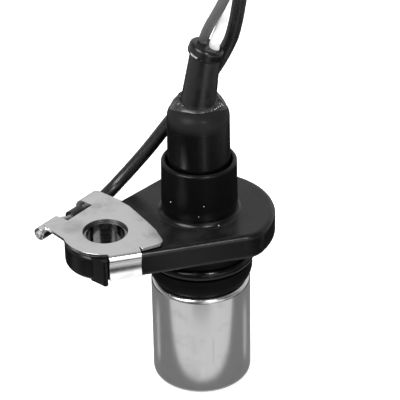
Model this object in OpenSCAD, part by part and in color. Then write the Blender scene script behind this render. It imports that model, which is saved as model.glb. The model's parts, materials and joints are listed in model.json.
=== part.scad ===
// Crankshaft position sensor, inductive, with a bolt ear, a ground clip and three leads.
// Millimetres, +Z up. The origin is the middle of the sensing face, the bolt ear points along -X.

/* [Can] */

// Outside diameter of the steel can
can_d = 18.5; // [17:0.1:21]
// Height of the can with its rolled rim
can_h = 21.3; // [20:0.1:24]
// Sheet thickness of the can
can_wall = 0.6; // [0.4:0.05:0.8]
// Outside corner radius of the sensing face and of the rim
can_corner_r = 0.9; // [0.85:0.05:1.2]
// How far the rim is rolled in
rim_reach = 1.5; // [1.3:0.05:1.8]

/* [Spigot and seal] */

// Height of the rounded lower land that stands on the can
land_round_h = 2.6; // [2:0.1:3]
// Height of the straight band above it
land_band_h = 1.5; // [0.8:0.1:2]
// Diameter of the lands above and below the seal
land_d = 19.3; // [18.8:0.1:20]
// Outside diameter of the seal
seal_d = 20.3; // [20.1:0.05:20.6]
// Section diameter of the seal
seal_section = 2.4; // [2:0.1:2.6]
// Room for the seal to be squeezed along its groove
seal_room = 0.3; // [0.2:0.05:0.6]
// Height of the upper land between seal and flange
upper_land_h = 2.2; // [1.5:0.1:4]

/* [Flange] */

// Radius of the round flange
flange_r = 13.8; // [13.4:0.1:14.6]
// Thickness of the flange and the ear
flange_h = 5.1; // [4.5:0.1:7]
// Edge radius of the flange and the ear
flange_edge_r = 1; // [0.4:0.1:1.4]
// Distance of the flat front wall from the axis
wall_reach = 11.7; // [11.5:0.05:12]
// Slant of the front wall to the ear
wall_slant = 12.75; // [12:0.25:13.25]
// Radius where the front wall runs into the round flange
wall_blend_r = 5; // [3:0.1:6]
// Distance of the flat back wall from the axis
back_reach = 13.1; // [12.8:0.05:13.3]
// Slant of the back wall to the ear
back_slant = 19.5; // [18:0.5:20]

/* [Bolt ear] */

// Distance of the bolt hole from the axis
bolt_reach = 19; // [18.4:0.1:19.6]
// Radius of the ear's round end
ear_r = 7.4; // [7.2:0.1:7.5]
// Bore of the sleeve, for an M6 bolt
sleeve_bore_d = 7; // [6.4:0.1:7.4]
// Wall of the sleeve
sleeve_wall = 1.7; // [1.4:0.1:2]
// How far the sleeve stands out of the ear's top
sleeve_proud = 0.3; // [0.2:0.05:0.6]

/* [Collar and boot] */

// Outside diameter of the collar at its foot
collar_foot_d = 14; // [13.8:0.1:14.6]
// Outside diameter of the collar at its rim
collar_rim_d = 13.7; // [13.4:0.1:13.8]
// Height of the collar above the flange
collar_h = 10.6; // [9:0.1:13]
// Fillet where the collar stands on the flange
collar_fillet_r = 1.1; // [0.6:0.1:1.6]
// How deep the boot stands in the collar
boot_depth = 7.5; // [6:0.1:8]
// Diameter of the boot at its foot
boot_d = 11.5; // [11.2:0.1:11.6]
// How much thinner the boot is below its shoulder
boot_draft = 0.3; // [0:0.1:0.5]
// Height of the boot above the collar
boot_h = 11.1; // [10:0.1:13]
// Radius of the boot's shoulder
boot_shoulder_r = 2.4; // [2.2:0.1:2.6]
// Wall of the boot
boot_wall = 1.1; // [1:0.05:1.15]
// Gap between the boot and the collar
boot_gap = 0.2; // [0.1:0.05:0.3]

/* [Nozzle] */

// Diameter of the nozzle where it leaves the boot
nozzle_d = 6.3; // [6:0.1:6.5]
// Diameter of the nozzle under its bead
nozzle_tip_d = 5.3; // [5:0.1:5.8]
// Length of the nozzle from the boot to its tip
nozzle_l = 11.6; // [10:0.1:13]
// Lean of the nozzle
nozzle_lean = 8; // [4:0.5:10]
// Diameter of the bead at the tip
bead_d = 6.2; // [5.9:0.1:6.8]
// Height of the bead
bead_h = 2.3; // [2:0.1:2.6]
// Lean of the bead against the nozzle
bead_lean = 12; // [0:1:14]

/* [Ground clip] */

// Sheet thickness of the clip
clip_t = 0.6; // [0.5:0.05:0.7]
// Bolt hole in the clip
clip_hole_d = 8.1; // [7.6:0.1:8.6]
// Radius of the clip's round side
clip_r = 7.65; // [7.4:0.05:7.8]
// Width of the front tab
tab_w = 5.8; // [5.2:0.1:6.4]
// Turn of the crimps to the ear
crimp_turn = 23.5; // [22:0.5:25]
// Distance of the crimped lead from the bolt
crimp_reach = 10; // [9.7:0.1:10.4]
// Length of the conductor crimp
wire_crimp_l = 3.9; // [3:0.1:4.2]
// Length of the insulation crimp
sheath_crimp_l = 4.5; // [3.6:0.1:4.8]

/* [Leads] */

// Diameter of the two signal leads
lead_d = 1.8; // [1.6:0.05:1.9]
// Diameter of the ground lead
ground_lead_d = 2.5; // [2.3:0.05:2.6]
// Diameter of the bare strands of the ground lead
strand_d = 1.2; // [1:0.05:1.3]

/* [Coil] */

// Diameter of the pole pin
pole_d = 4.4; // [4:0.1:4.6]
// Diameter of the magnet
magnet_d = 4.8; // [4.4:0.1:5]
// Height of the magnet
magnet_h = 5; // [3:0.1:6]
// Outside diameter of the winding
winding_d = 14.6; // [12:0.1:15]
// Diameter of the terminal pins
pin_d = 0.9; // [0.7:0.05:1]
// Distance of the terminal pins from the axis
pin_reach = 3.4; // [3.3:0.05:3.4]

/* [Connector] */

// Width of the connector
plug_w = 16; // [15:0.5:18]
// Length of the connector
plug_l = 22; // [20:0.5:26]
// Height of the connector
plug_h = 11; // [10:0.5:12]
// Distance between its terminals
plug_pitch = 4.2; // [4:0.1:4.6]
// Diameter of its wire seals
plug_seal_d = 3.6; // [3.3:0.1:3.8]
// Width of its terminals
terminal_w = 2; // [1.8:0.1:2.2]

/* [Hidden] */

$fn = 96;

// Clearance of sliding and potted fits
fit = 0.05;
// Longer than any cut has to be
beyond = 60;
// How far joined shapes reach into each other, and cuts past a face
join = 1;

// Heights, from the sensing face up
rim_under_z = can_h - can_wall;
land_band_z = can_h + land_round_h;
groove_z = land_band_z + land_band_h;
groove_h = seal_section + seal_room;
upper_land_z = groove_z + groove_h;
flange_z = upper_land_z + upper_land_h;
flange_top = flange_z + flange_h;
collar_top = flange_top + collar_h;
boot_foot_z = collar_top - boot_depth;
boot_top = collar_top + boot_h;
clip_z = flange_top + sleeve_proud;

// Can and spigot
can_inside_r = can_d / 2 - can_wall;
can_inside_corner_r = can_corner_r - can_wall;
rim_hole_r = can_d / 2 - rim_reach;
plug_in_can_h = 3;
plug_foot_z = rim_under_z - plug_in_can_h;
land_overhang = 0.1;
land_foot_r = can_d / 2 - can_corner_r + land_overhang;
seal_inside_r = seal_d / 2 - seal_section;
cavity_r = 5;

// Collar and boot
boot_foot_r = boot_d / 2;
boot_neck_r = boot_foot_r - boot_draft / 2;
collar_bore_r = boot_foot_r + boot_gap;
collar_lip = collar_rim_d / 2 - collar_bore_r;
// The fillet's arc runs a little into the collar and the flange, so that it meets both cleanly
fillet_sink = 0.05;
fillet_reach = collar_foot_d / 2 + collar_fillet_r - 2 * fillet_sink;
boot_inside_r = boot_foot_r - boot_wall;
crown_rise = 0.6;
boot_ceiling_z = boot_top - boot_shoulder_r + crown_rise;
nozzle_room = 0.1;
nozzle_hole_r = nozzle_d / 2 + nozzle_room;
sealant_r = 0.8;
sealant_sink = 0.2;

// The leads rise and arch in a plane turned this far from the ear
lead_plane_turn = -27.5;
// Where the two signal leads leave the nozzle's tip, to the right and to the back
grey_spot = [-0.5, 0.75];
white_spot = [1.4, -0.35];
nozzle_foot_h = 2.5;
nozzle_foot_r = boot_inside_r - nozzle_room;
// The nozzle's upright foot and its leaning neck end this far from the ball between them
nozzle_joint = 0.55;
nozzle_ball_proud = 0.15;
bead_round_r = 0.7;

// The blend between front wall and round flange is an arc that meets both, and crosses them cleanly
blend_y = wall_blend_r - wall_reach;
blend_x = sqrt(pow(flange_r - wall_blend_r, 2) - blend_y * blend_y);
blend_proud = 0.03;

// Ear
sleeve_r = sleeve_bore_d / 2 + sleeve_wall;
wall_at_bolt = wall_reach - bolt_reach * sin(wall_slant);
// The stop beside the clip's tab, seen from above and measured from the bolt hole
stop_outline = [[-5.3, -4.8], [-4.2, -7.3], [-3.4, -7.8], [-2.7, -6]];
stop_nose = [-3.7, -7.4];
stop_nose_r = 0.5;

// Clip, measured from the bolt hole
sheath_crimp_from = 5.2;
wire_crimp_from = -5.3;
clip_back_edge = 7.75;
wire_crimp_out = 1.3;
strand_out = 0.4;
strand_straight = 0.9;
strand_drop_l = 0.8;
sheath_axis_z = -ground_lead_d / 2;
wire_axis_z = -strand_d / 2;
lead_end_back = 3.5;
lead_straight = 1.5;
seam_w = 0.35;
seam_turn = 200;
clip_corner = [6.5, -7.2];
clip_corner_r = 1.2;
clip_front = [3.2, -8.2];
// The clip's edge on the side of the collar, from front to back
clip_side = [[8.1, -4], [8, -1.4], [7.75, 2.3], [7.5, 5.6], [6.85, 7.8], [6, 10]];
strip_from = 4.4;
strip_root = strip_from - join;
arm_spread = 1.2;
notch_root_w = 2;
tab_from = -1.2;
tab_bend_r = 1;
// The tab is bent past upright by this much, and then curls out again
tab_tuck = 25;
tab_curl_r = 4;
// Bend and curl run on into each other, and the curl lies a hair deeper, so that they cross cleanly
tab_overrun = 18;
tab_curl_lap = 3.5;
tab_curl_sink = 0.05;
tab_curl_from_bend = tab_bend_r + tab_curl_r - tab_curl_sink;
tab_short = 1;
tab_bend_reach = wall_at_bolt + fit + tab_curl_r + clip_t - tab_curl_from_bend * cos(tab_tuck);

// Coil, from the can's floor up
flange_t = 1;
coil_foot_z = can_wall + flange_t;
magnet_z = plug_foot_z - magnet_h;
coil_top_z = magnet_z - flange_t;
bobbin_wall = 0.6;
bobbin_core_r = pole_d / 2 + bobbin_wall;
bobbin_hole_r = pole_d / 2 + fit;
bobbin_room = 0.4;
bobbin_r = can_inside_r - bobbin_room;
bobbin_lap = 0.5;
magnet_cup_t = 0.35;
tape_t = 0.2;
tail_straight = 1.2;
tail_clear = 1.5;
splice_rise = 0.4;
splice_z = boot_foot_z + splice_rise;
splice_l = 5.6;
splice_r = 1.1;
potting_drop = 1;
potting_top = boot_foot_z - potting_drop;

// Connector, in the plane of the leads
plug_right = 51;
plug_back = 12;
plug_axis_z = plug_h / 2;
plug_corner_r = 1.5;
plug_step = 1.2;
plug_rear_l = 0.55 * plug_l;
seal_depth = 5;
terminal_short = 3;
terminal_crimp_l = 4;
lock_t = 1.2;
lock_from = 7.5;
lock_l = 3.2;
latch_w = 5;
latch_t = 1.1;
latch_gap = 0.9;
latch_from = 1.5;
latch_post_l = 2;
hook_back = 3;
hook_l = 2.4;
hook_h = 0.9;
grip_count = 3;
grip_from = 1.2;
grip_pitch = 2;
grip_l = 1;
grip_proud = 0.4;
grip_share = 0.6;

// Route points of the leads: to the right, to the back and up, in the plane of the leads
tip_way = [sin(nozzle_lean), 0, cos(nozzle_lean)];
tip_side = [cos(nozzle_lean), 0, -sin(nozzle_lean)];
pivot = [0, 0, boot_top];
tip = pivot + nozzle_l * tip_way;

function at_tip(spot) = tip + spot[0] * tip_side + [0, spot[1], 0];

grey_start = at_tip(grey_spot);
white_start = at_tip(white_spot);
grey_rise = [[2.2, 0.15, 72.2], [4.1, -1, 76.3]];
white_rise = [[4.15, 0.1, 72.1], [4.85, 1.05, 75.4]];
black_rise = [
    [-14.7, 8.3, 36.6], [-9.6, 9, 42.5], [-4.75, 9, 49.1], [1.7, 7.2, 58.3], [5.25, 5, 65.6], [6.8, 4.3, 70.9]
];
grey_arch = [
    [7.7, -1.2, 84], [15.5, -1.2, 100], [31, -1.2, 110], [45, -1.2, 98], [49, -1.2, 74], [48, -6, 45]
];
white_arch = [
    [6.6, 1.1, 84], [15, 1.1, 99.5], [31, 1.1, 108.5], [44, 1.1, 98], [50, 1.1, 74], [51, -6, 45]
];
black_arch = [
    [9, 3.6, 84], [12.8, 3.6, 93], [20.5, 3.6, 102], [31, 3.6, 107], [41, 4, 101.5], [47.5, 4, 90],
    [51, 4, 74], [53, -1, 60], [54, -6, 45]
];

function lead_close(row) = [
    for (step = [[-21, 16.5], [-17.5, 3.5], [-9, 0], [0, 0], [seal_depth, 0]])
        [plug_right + row * plug_pitch, plug_back + step[0], plug_axis_z + step[1]]
];

grey_route = concat([grey_start, grey_start + tip_way], grey_rise, grey_arch, lead_close(-1));
white_route = concat([white_start, white_start + tip_way], white_rise, white_arch, lead_close(0));

// The ground lead starts in the clip, so its first points follow the crimps
function on_crimp(along, up) = plane_from_ear(
    [-bolt_reach, 0, clip_z] + turned([along, crimp_reach, up], crimp_turn));
function turned(p, angle) = [
    p[0] * cos(angle) - p[1] * sin(angle),
    p[0] * sin(angle) + p[1] * cos(angle),
    p[2]
];
function plane_from_ear(p) = turned(p, -lead_plane_turn);

lead_end_along = sheath_crimp_from - lead_end_back;
crimp_end_along = sheath_crimp_from + sheath_crimp_l;
black_route = concat(
    [for (along = [lead_end_along, sheath_crimp_from, crimp_end_along, crimp_end_along + lead_straight])
        on_crimp(along, sheath_axis_z)],
    black_rise, black_arch, lead_close(1)
);

// Helpers

function unit(v) = v / norm(v);

// A smooth curve through the route points: point at part s of span i
function on_span(p, i, s) = let (
    before = i == 0 ? 2 * p[0] - p[1] : p[i - 1],
    after = i + 2 > len(p) - 1 ? 2 * p[i + 1] - p[i] : p[i + 2]
) 0.5 * (
    2 * p[i]
    + (p[i + 1] - before) * s
    + (2 * before - 5 * p[i] + 4 * p[i + 1] - after) * s * s
    + (3 * p[i] - before - 3 * p[i + 1] + after) * s * s * s
);

function smooth(p, steps) = [
    for (i = [0 : len(p) - 2]) for (k = [0 : steps - 1]) on_span(p, i, k / steps),
    p[len(p) - 1]
];

function way_at(p, i) = unit(p[min(i + 1, len(p) - 1)] - p[max(i - 1, 0)]);

// A lead as one swept solid
module lead(route, d, steps) {
    sides = 8;
    p = smooth(route, steps);
    last = len(p) - 1;
    corners = [
        for (i = [0 : last])
            let (
                way = i == 0 ? unit(route[1] - route[0]) : way_at(p, i),
                a = unit(cross(way, [1, -1, 0])),
                b = cross(way, a)
            )
            for (k = [0 : sides - 1])
                p[i] + d / 2 * (cos(360 * k / sides) * a + sin(360 * k / sides) * b)
    ];
    skin = [
        for (i = [0 : last - 1])
            for (k = [0 : sides - 1])
                let (
                    here = i * sides + k,
                    next = i * sides + (k + 1) % sides
                )
                for (half = [0, 1])
                    half == 0 ? [here, here + sides, next] : [next, here + sides, next + sides]
    ];
    foot = [for (k = [0 : sides - 1]) k];
    head = [for (k = [sides - 1 : -1 : 0]) last * sides + k];
    in_lead_plane() polyhedron(corners, concat(skin, [foot, head]));
}

module in_lead_plane() {
    rotate(lead_plane_turn) children();
}

module at_bolt(z) {
    translate([-bolt_reach, 0, z]) children();
}

// Half outline of a turned post with rounded outer corners
module post_outline(r, h, corner_r) {
    translate([0, corner_r]) square([r, h - 2 * corner_r]);
    square([r - corner_r, h]);
    for (y = [corner_r, h - corner_r]) translate([r - corner_r, y]) circle(corner_r);
}

// Outline of a slab whose near edge is rounded, the slab runs away along +X
module slab_outline(h, edge_r) {
    translate([edge_r, 0]) square([beyond, h]);
    translate([0, edge_r]) square([beyond, h - 2 * edge_r]);
    translate([edge_r, edge_r]) circle(edge_r);
    translate([edge_r, h - edge_r]) circle(edge_r);
}

// A slab as high as the flange that fills everything behind a flat wall
module wall_slab(reach, angle) {
    rotate(angle)
        translate([-beyond, -reach, flange_z])
            rotate([90, 0, 90])
                linear_extrude(2 * beyond)
                    slab_outline(flange_h, flange_edge_r);
}

// A bent rod: straight runs that end inside a slightly thicker ball at each bend
module bent_rod(p, d) {
    ball = 1.05;
    short = 0.155 * d;
    last = len(p) - 1;
    for (i = [0 : last - 1]) {
        run = p[i + 1] - p[i];
        cut_from = i == 0 ? 0 : short;
        cut_to = i == last - 1 ? 0 : short;
        translate(p[i] + cut_from * unit(run))
            rotate([0, acos(run[2] / norm(run)), atan2(run[1], run[0])])
                cylinder(h = norm(run) - cut_from - cut_to, d = d, $fn = 32);
    }
    for (i = [1 : last - 1]) translate(p[i]) sphere(d = ball * d, $fn = 32);
}

// Can

module sensor_can() {
    color("#b9bcc0")
    rotate_extrude()
    difference() {
        post_outline(can_d / 2, can_h, can_corner_r);
        translate([0, can_wall]) post_outline(can_inside_r, can_h - 2 * can_wall, can_inside_corner_r);
        translate([0, can_h / 2]) square([rim_hole_r, can_h]);
    }
}

// Housing

module spigot() {
    rotate_extrude() {
        translate([0, plug_foot_z]) post_outline(can_inside_r - fit, plug_in_can_h, can_inside_corner_r);
        translate([0, plug_foot_z + join]) square([rim_hole_r - fit, groove_z - plug_foot_z - join]);
        translate([0, groove_z - join]) square([seal_inside_r, groove_h + 2 * join]);
        translate([0, land_band_z]) square([land_d / 2, land_band_h]);
        translate([0, upper_land_z]) square([land_d / 2, upper_land_h + join]);
        land_bulge();
    }
}

// The lower land swells from the can's rim up to its band in one arc
module land_bulge() {
    swell = land_d / 2 - land_foot_r;
    bulge_r = (land_round_h * land_round_h + swell * swell) / (2 * swell);
    intersection() {
        translate([land_d / 2 - bulge_r, land_band_z]) circle(bulge_r, $fn = 192);
        translate([0, can_h]) square([land_d / 2, land_round_h]);
    }
}

module flange() {
    difference() {
        intersection() {
            union() {
                flange_post(flange_r);
                ear();
            }
            wall_slab(wall_reach, -wall_slant);
            mirror([0, 1, 0]) wall_slab(back_reach, -back_slant);
        }
        rotate(-wall_slant) translate([blend_x, blend_y, 0]) blend_corner();
    }
    rotate(-wall_slant) translate([blend_x, blend_y, 0]) flange_post(wall_blend_r + blend_proud);
    ear_stop();
}

// A round post as high as the flange, with the flange's edges
module flange_post(r) {
    translate([0, 0, flange_z])
        rotate_extrude() post_outline(r, flange_h, flange_edge_r);
}

// The corner outside that arc, seen from the arc's middle
module blend_corner() {
    reach = 3 * wall_blend_r;
    out = reach * unit([blend_x, blend_y]);
    translate([0, 0, flange_z - join])
        linear_extrude(flange_h + 2 * join)
            polygon([[0, 0], [0, -reach], [out[0], out[1] - reach], out]);
}

module ear() {
    translate([-bolt_reach, 0, 0]) flange_post(ear_r);
    translate([-bolt_reach, -flange_r - join, flange_z])
        cube([bolt_reach, 2 * (flange_r + join), flange_h]);
}

// The stop beside the clip's tab stands out of the ear's front
module ear_stop() {
    at_bolt(flange_z)
        linear_extrude(flange_h) {
            polygon(stop_outline);
            translate(stop_nose) circle(stop_nose_r, $fn = 32);
        }
}

module collar() {
    rotate_extrude()
    difference() {
        union() {
            polygon([
                [0, flange_top - join], [collar_foot_d / 2, flange_top - join],
                [collar_foot_d / 2, flange_top],
                [collar_rim_d / 2, collar_top - collar_lip / 2], [0, collar_top - collar_lip / 2]
            ]);
            translate([collar_rim_d / 2 - collar_lip / 2, collar_top - collar_lip / 2])
                circle(collar_lip / 2);
            translate([0, flange_top - join]) square([fillet_reach, join + collar_fillet_r]);
        }
        translate([fillet_reach, flange_top + collar_fillet_r - fillet_sink]) circle(collar_fillet_r);
    }
}

module housing() {
    color("#1c1c1e")
    difference() {
        union() {
            spigot();
            flange();
            collar();
        }
        translate([0, 0, plug_foot_z - join]) cylinder(h = beyond, r = cavity_r);
        translate([0, 0, boot_foot_z]) cylinder(h = beyond, r = collar_bore_r);
        at_bolt(flange_z - join) cylinder(h = flange_h + 2 * join, r = sleeve_r);
    }
}

module o_ring() {
    color("#111112")
    translate([0, 0, groove_z + groove_h / 2])
        rotate_extrude()
            translate([seal_d / 2 - seal_section / 2, 0]) circle(d = seal_section);
}

module bolt_sleeve() {
    color("#a9abad")
    at_bolt(flange_z)
    difference() {
        cylinder(h = flange_h + sleeve_proud, r = sleeve_r);
        translate([0, 0, -join]) cylinder(h = flange_h + sleeve_proud + 2 * join, d = sleeve_bore_d);
    }
}

// Ground clip

module ground_clip() {
    color("#d5d7d9")
    at_bolt(clip_z) {
        difference() {
            linear_extrude(clip_t) clip_outline();
            translate([0, 0, -join]) cylinder(h = clip_t + 2 * join, d = clip_hole_d);
        }
        rotate(-wall_slant) clip_tab();
        rotate(crimp_turn) {
            crimp(sheath_crimp_from, sheath_crimp_l, ground_lead_d);
            crimp(wire_crimp_from - wire_crimp_out, wire_crimp_l + wire_crimp_out, strand_d);
        }
    }
}

// The flat sheet seen from above
module clip_outline() {
    circle(clip_r);
    polygon(concat(
        [[0, 0], clip_front, clip_corner - [0, clip_corner_r], clip_corner + [clip_corner_r, 0]],
        clip_side
    ));
    translate(clip_corner) circle(clip_corner_r, $fn = 48);
    rotate(-wall_slant) translate([tab_from, -tab_bend_reach]) square([tab_w, tab_bend_reach]);
    rotate(crimp_turn) {
        translate([sheath_crimp_from, strip_from]) square([sheath_crimp_l, crimp_reach - strip_from]);
        translate([0, strip_from]) square([sheath_crimp_from + join, clip_back_edge - strip_from]);
        polygon([
            [wire_crimp_from - arm_spread, strip_root], [wire_crimp_from, crimp_reach],
            [wire_crimp_from + wire_crimp_l, crimp_reach], [wire_crimp_from + wire_crimp_l, strip_root]
        ]);
        translate([wire_crimp_from + wire_crimp_l - join, strip_root])
            square([notch_root_w + join, clip_back_edge - strip_root]);
    }
}

// The front tab bends down before the front wall, leans on it half way and curls out again
module clip_tab() {
    tuck_way = [cos(tab_tuck), sin(tab_tuck)];
    overrun_way = [cos(tab_tuck + tab_overrun), sin(tab_tuck + tab_overrun)];
    lap_way = [cos(tab_tuck + tab_curl_lap), sin(tab_tuck + tab_curl_lap)];
    bend = [-tab_bend_reach, clip_t - tab_bend_r];
    curl = bend - tab_curl_from_bend * tuck_way;
    low = tab_short - flange_h - sleeve_proud;
    translate([tab_from, 0, 0])
    rotate([90, 0, 90])
    linear_extrude(tab_w) {
        intersection() {
            sheet_ring(bend, tab_bend_r);
            polygon([bend, bend + [0, beyond], bend + [-beyond, beyond], bend - beyond * overrun_way]);
        }
        intersection() {
            sheet_ring(curl, tab_curl_r + clip_t);
            polygon([curl, curl + [beyond, -beyond], curl + beyond * lap_way]);
            translate([-beyond, low]) square(2 * beyond);
        }
    }
}

// The sheet as a ring round a middle, out to a radius
module sheet_ring(middle, r) {
    translate(middle)
    difference() {
        circle(r);
        circle(r - clip_t);
    }
}

// A strip of the sheet rolled down round a lead, its edge stops short of closing
module crimp(from, length, bore) {
    translate([from, crimp_reach, -bore / 2])
    rotate([90, 0, 90])
    linear_extrude(length)
    difference() {
        circle(bore / 2 + clip_t);
        circle(bore / 2);
        rotate(seam_turn) translate([0, -seam_w / 2]) square([2 * bore, seam_w]);
    }
}

module ground_strands() {
    color("#c9b28a")
    at_bolt(clip_z)
    rotate(crimp_turn)
    translate([0, crimp_reach, 0])
        bent_rod([
            [wire_crimp_from - wire_crimp_out - strand_out, 0, wire_axis_z],
            [lead_end_along - strand_straight - strand_drop_l, 0, wire_axis_z],
            [lead_end_along - strand_straight, 0, sheath_axis_z],
            [lead_end_along, 0, sheath_axis_z]
        ], strand_d);
}

// Boot and nozzle

module boot() {
    color("#202022")
    rotate_extrude()
    difference() {
        union() {
            polygon([
                [0, boot_foot_z], [boot_foot_r, boot_foot_z],
                [boot_neck_r, boot_top - boot_shoulder_r], [0, boot_top - boot_shoulder_r]
            ]);
            intersection() {
                translate([boot_neck_r - boot_shoulder_r, boot_top - boot_shoulder_r])
                    circle(boot_shoulder_r);
                translate([0, boot_top - boot_shoulder_r]) square(beyond);
            }
            translate([0, boot_top - boot_shoulder_r])
                square([boot_neck_r - boot_shoulder_r, boot_shoulder_r]);
        }
        translate([0, boot_foot_z - join]) square([boot_inside_r, boot_ceiling_z - boot_foot_z + join]);
        square([nozzle_hole_r, beyond + boot_top]);
    }
}

// The nozzle without its lead holes
module nozzle_body() {
    translate([0, 0, boot_ceiling_z - nozzle_foot_h]) cylinder(h = nozzle_foot_h, r = nozzle_foot_r);
    translate([0, 0, boot_ceiling_z - join])
        cylinder(h = boot_top - boot_ceiling_z + join - nozzle_joint, d = nozzle_d);
    translate(pivot) {
        sphere(d = nozzle_d + nozzle_ball_proud);
        rotate([0, nozzle_lean, 0]) {
            translate([0, 0, nozzle_joint])
                cylinder(h = nozzle_l - bead_h / 2 - nozzle_joint, d1 = nozzle_d, d2 = nozzle_tip_d);
            translate([0, 0, nozzle_l - bead_h / 2])
                rotate([0, bead_lean, 0])
                    translate([0, 0, -bead_h / 2])
                        rotate_extrude() post_outline(bead_d / 2, bead_h, bead_round_r);
        }
    }
}

// The way of one signal lead through boot and nozzle and a little past its tip, side is -1 for grey
// and 1 for white
module lead_way(side, d, past = 0) {
    spot = side < 0 ? grey_spot : white_spot;
    bent_rod([
        [side * pin_reach, 0, splice_z + splice_l],
        [side * pin_reach, 0, splice_z + splice_l + tail_straight],
        [spot[0], spot[1], boot_ceiling_z - nozzle_foot_h - tail_clear],
        [spot[0], spot[1], boot_top - spot[0] * tan(nozzle_lean / 2)],
        at_tip(spot) + past * tip_way
    ], d);
}

module nozzle() {
    color("#19191a")
    in_lead_plane()
    difference() {
        nozzle_body();
        for (side = [-1, 1]) lead_way(side, lead_d + fit, bead_h / 2);
    }
}

module nozzle_sealant() {
    color("#3a3a3c")
    in_lead_plane()
    difference() {
        translate([0, 0, boot_top - sealant_sink])
            rotate_extrude() translate([nozzle_hole_r, 0]) circle(sealant_r, $fn = 32);
        nozzle_body();
        translate([0, 0, boot_top - boot_shoulder_r]) boot_crown();
    }
}

// The boot's shoulder as a solid crown, to fit the sealant to it
module boot_crown() {
    rotate_extrude()
    difference() {
        intersection() {
            translate([boot_neck_r - boot_shoulder_r, 0]) circle(boot_shoulder_r);
            square(beyond);
        }
        square([nozzle_hole_r, beyond]);
    }
}

// Leads

module lead_grey() {
    color("#8c8e90") lead(grey_route, lead_d, 2);
}

module lead_white() {
    color("#e8e8e6") lead(white_route, lead_d, 2);
}

module lead_black() {
    color("#161617") lead(black_route, ground_lead_d, 1);
}

// Coil

module pole_piece() {
    color("#7d7f82")
    translate([0, 0, can_wall]) cylinder(h = magnet_z - can_wall, d = pole_d);
}

module magnet() {
    color("#55585c")
    translate([0, 0, magnet_z]) cylinder(h = magnet_h, d = magnet_d);
}

module coil_bobbin() {
    color("#d8d2c0")
    difference() {
        rotate_extrude() {
            for (z = [can_wall, coil_top_z])
                translate([bobbin_hole_r, z]) square([bobbin_r - bobbin_hole_r, flange_t]);
            translate([bobbin_hole_r, can_wall])
                square([bobbin_core_r - bobbin_hole_r, coil_top_z - can_wall + bobbin_lap]);
            translate([magnet_d / 2 + fit, magnet_z - bobbin_lap])
                square([magnet_cup_t, magnet_h + bobbin_lap]);
        }
        in_lead_plane()
            for (side = [-1, 1])
                translate([side * pin_reach, 0, coil_top_z - join])
                    cylinder(h = flange_t + 2 * join, d = pin_d, $fn = 32);
    }
}

module coil_winding() {
    color("#a8622c")
    translate([0, 0, coil_foot_z])
    difference() {
        cylinder(h = coil_top_z - coil_foot_z, d = winding_d);
        translate([0, 0, -join]) cylinder(h = coil_top_z - coil_foot_z + 2 * join, r = bobbin_core_r);
    }
}

module coil_tape() {
    color("#c9a23a")
    translate([0, 0, coil_foot_z])
    difference() {
        cylinder(h = coil_top_z - coil_foot_z, d = winding_d + 2 * tape_t);
        translate([0, 0, -join]) cylinder(h = coil_top_z - coil_foot_z + 2 * join, d = winding_d);
    }
}

module terminal_pin(side) {
    color("#c8b070")
    in_lead_plane()
    translate([side * pin_reach, 0, coil_top_z])
        cylinder(h = splice_z + splice_l / 2 - coil_top_z, d = pin_d, $fn = 32);
}

module pin_grey() {
    terminal_pin(-1);
}

module pin_white() {
    terminal_pin(1);
}

module splice(side) {
    color("#bfa05a")
    in_lead_plane()
    translate([side * pin_reach, 0, splice_z])
    difference() {
        cylinder(h = splice_l, r = splice_r, $fn = 32);
        translate([0, 0, -join]) cylinder(h = splice_l + 2 * join, d = pin_d, $fn = 32);
    }
}

module splice_grey() {
    splice(-1);
}

module splice_white() {
    splice(1);
}

// A sealed-in lead end: bare core in the splice, then the insulated lead up to the nozzle's tip
module lead_tail(side) {
    in_lead_plane() {
        translate([side * pin_reach, 0, splice_z + splice_l / 2])
            cylinder(h = splice_l / 2, d = pin_d, $fn = 32);
        lead_way(side, lead_d);
    }
}

module tail_grey() {
    color("#8c8e90") lead_tail(-1);
}

module tail_white() {
    color("#e8e8e6") lead_tail(1);
}

module potting() {
    color("#2b2a28")
    difference() {
        translate([0, 0, plug_foot_z]) cylinder(h = potting_top - plug_foot_z, r = cavity_r);
        in_lead_plane()
            for (side = [-1, 1])
                translate([side * pin_reach, 0, plug_foot_z - join])
                    cylinder(h = beyond, d = pin_d, $fn = 32);
    }
}

// Connector

module at_plug() {
    in_lead_plane() translate([plug_right, plug_back, plug_axis_z]) children();
}

// A box along +Y with rounded long edges
module round_box(w, l, h, r) {
    rotate([90, 0, 0])
    translate([0, 0, -l])
    linear_extrude(l) {
        square([w - 2 * r, h], center = true);
        square([w, h - 2 * r], center = true);
        for (x = [-1, 1]) for (z = [-1, 1])
            translate([x * (w / 2 - r), z * (h / 2 - r)]) circle(r, $fn = 48);
    }
}

module along_plug(d, from, to) {
    translate([0, from, 0]) rotate([-90, 0, 0]) cylinder(h = to - from, d = d, $fn = 48);
}

module plug_housing() {
    color("#2a2a2c")
    at_plug()
    difference() {
        union() {
            round_box(plug_w, plug_rear_l, plug_h, plug_corner_r);
            round_box(plug_w - 2 * plug_step, plug_l, plug_h - 2 * plug_step, plug_corner_r);
            plug_latch();
            plug_grips();
        }
        for (row = [-1 : 1]) translate([row * plug_pitch, 0, 0]) {
            along_plug(plug_seal_d, -join, seal_depth);
            translate([-terminal_w / 2 - fit, seal_depth - join, -terminal_w / 2 - fit])
                cube([terminal_w + 2 * fit, beyond, terminal_w + 2 * fit]);
        }
        translate([-beyond / 2, lock_from - fit, terminal_w / 2 + fit])
            cube([beyond, lock_l + 2 * fit, lock_t + fit]);
    }
}

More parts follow.
